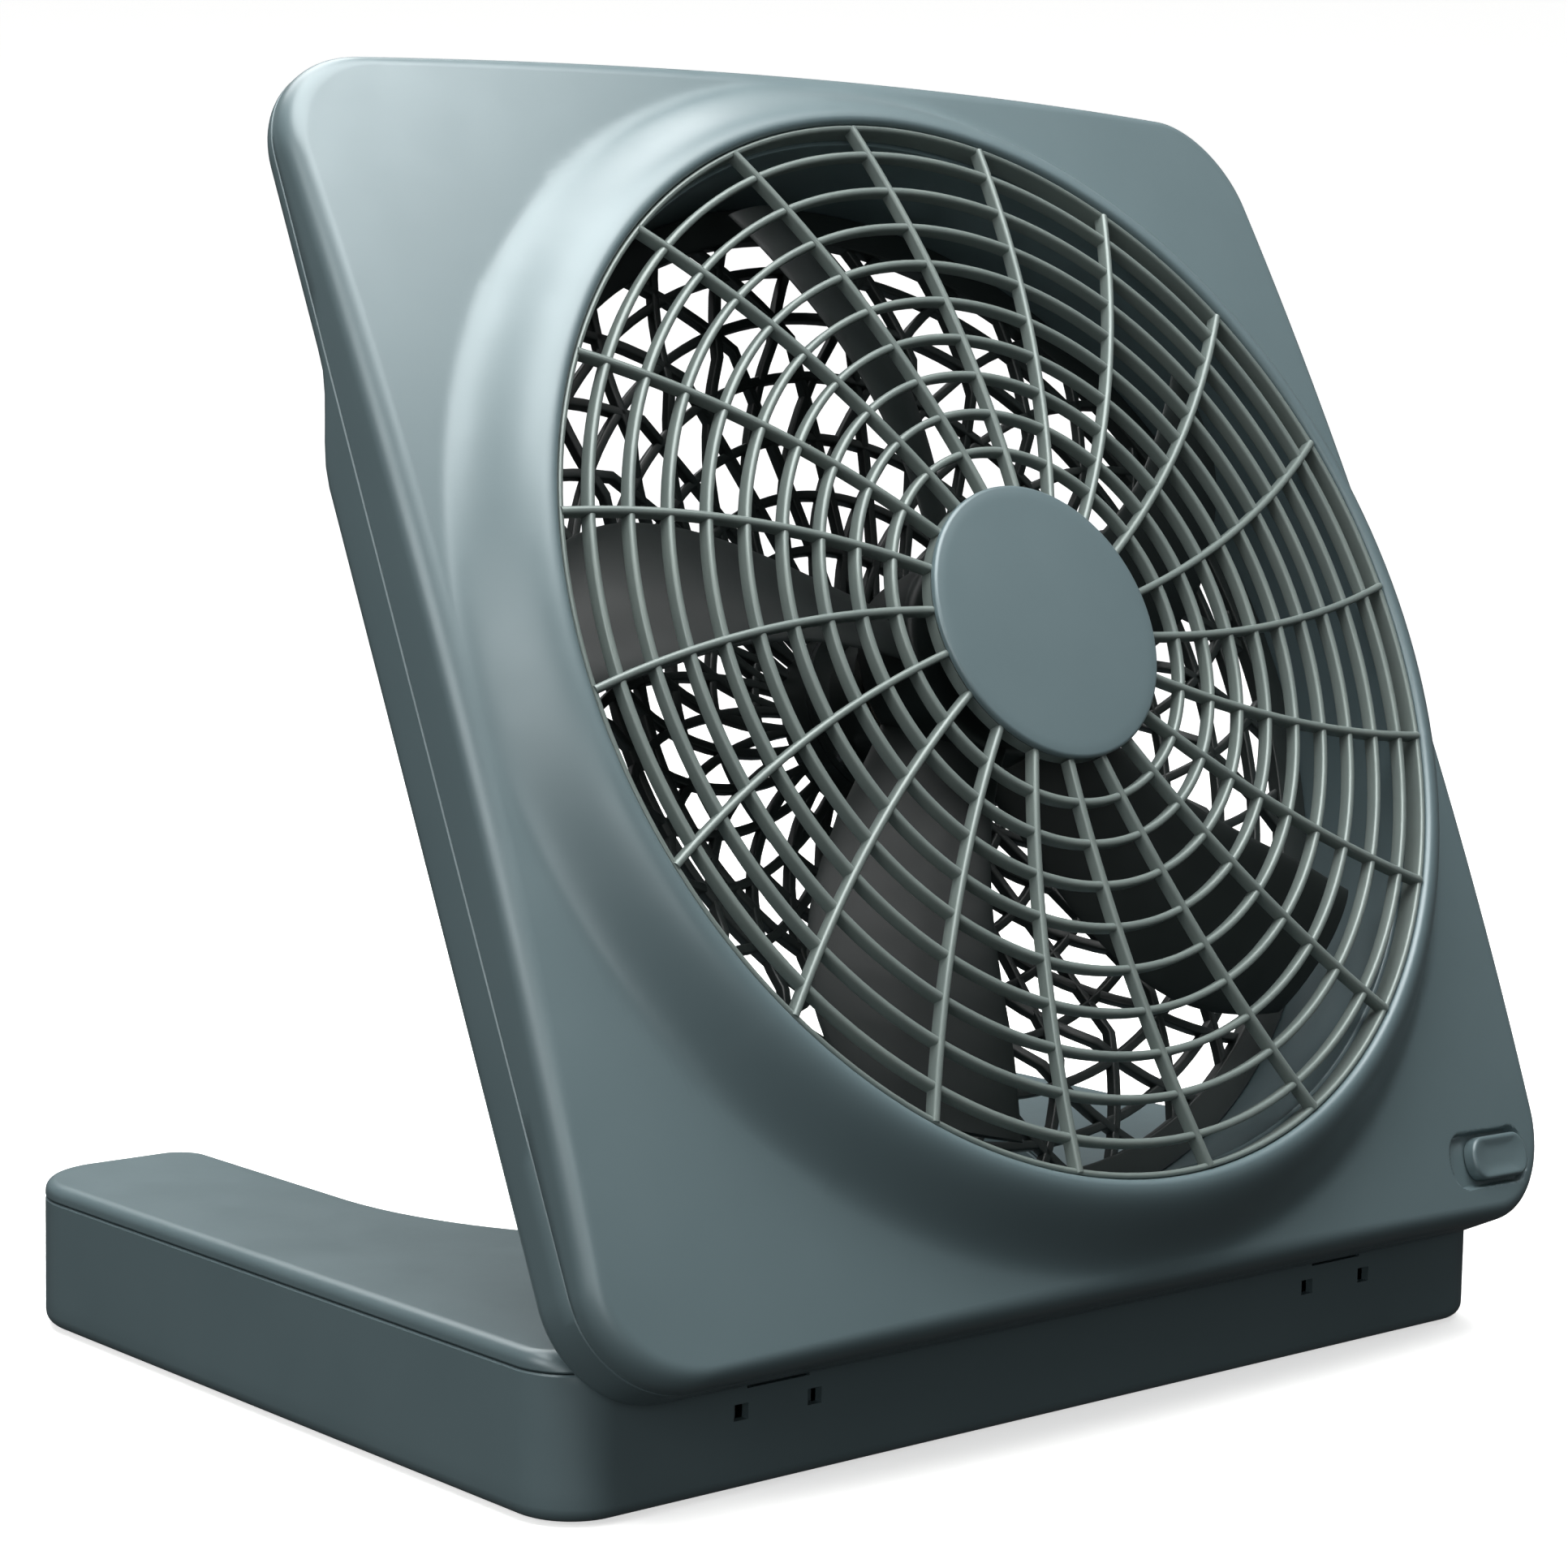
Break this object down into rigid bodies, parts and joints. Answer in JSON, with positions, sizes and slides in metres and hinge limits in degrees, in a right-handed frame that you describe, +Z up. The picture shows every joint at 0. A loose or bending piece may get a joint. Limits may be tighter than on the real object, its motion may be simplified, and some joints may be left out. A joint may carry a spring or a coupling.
{
  "type": "folding battery box fan",
  "caption": "Square tabletop fan head with a swirled round grille, hinged to a U-shaped battery base that folds flat against its back.",
  "frame": {"origin": "on the surface the fan stands on, straight under the middle of the hinge axis, 0.8 mm below the base's flat underside", "axes": "+Z up; -Y the side the air leaves; +X to the right as seen from the front"},
  "size_m": [0.321, 0.2714, 0.3257],
  "materials": {
    "slate_abs": "satin",
    "grille_abs": "satin",
    "dark_abs": "satin",
    "blade_pp": "satin",
    "rubber": "matte",
    "screw_steel": "brushed",
    "nickel_steel": "satin",
    "cell_jacket": "gloss",
    "black_plastic": "satin",
    "board": "satin",
    "nylon": "satin",
    "magnet": "matte",
    "copper": "satin",
    "bronze": "satin"
  },
  "bodies": {
    "base": {"base_tray": "slate_abs", "base_cover": "slate_abs", "hinge_pins": "screw_steel", "base_screws": "screw_steel", "front_feet": "rubber", "battery_cells_left": "cell_jacket", "battery_cells_right": "cell_jacket", "battery_springs": "nickel_steel", "battery_contacts": "nickel_steel", "power_jack": "black_plastic"},
    "battery_door_left": {"battery_door_left": "slate_abs", "door_foot_left": "rubber"},
    "battery_door_right": {"battery_door_right": "slate_abs", "door_foot_right": "rubber"},
    "head": {"front_bezel": "slate_abs", "front_grille": "grille_abs", "hub_cap": "slate_abs", "rear_shell": "slate_abs", "rear_grille": "dark_abs", "motor_housing": "dark_abs", "motor_can": "nickel_steel", "motor_magnets": "magnet", "motor_end_cap": "nylon", "motor_bushings": "bronze", "motor_screws": "screw_steel", "slide_switch": "black_plastic", "switch_board": "board", "switch_screws": "screw_steel", "shell_screws": "screw_steel"},
    "rotor": {"fan_blades": "blade_pp", "motor_shaft": "screw_steel", "motor_armature": "copper", "blade_nut": "blade_pp"},
    "switch_knob": {"switch_knob": "slate_abs"}
  },
  "joints": [
    {"name": "head_tilt", "type": "hinge", "parent": "base", "child": "head", "pos_m": [0, 0, 0.03], "axis": [-1, 0, 0], "range_deg": [-25.2, 64.8]},
    {"name": "fan_spin", "type": "hinge", "parent": "head", "child": "rotor", "pos_m": [0, 0.03795, 0.17841], "axis": [0, -0.9048, 0.4258], "continuous": true},
    {"name": "switch_slide", "type": "slide", "parent": "head", "child": "switch_knob", "axis": [0.994, 0.0993, -0.0467], "range_m": [-0.008, 0]},
    {"name": "battery_door_left_slide", "type": "slide", "parent": "base", "child": "battery_door_left", "axis": [0, 1, 0], "range_m": [0, 0.19]},
    {"name": "battery_door_right_slide", "type": "slide", "parent": "base", "child": "battery_door_right", "axis": [0, 1, 0], "range_m": [0, 0.19]}
  ]
}
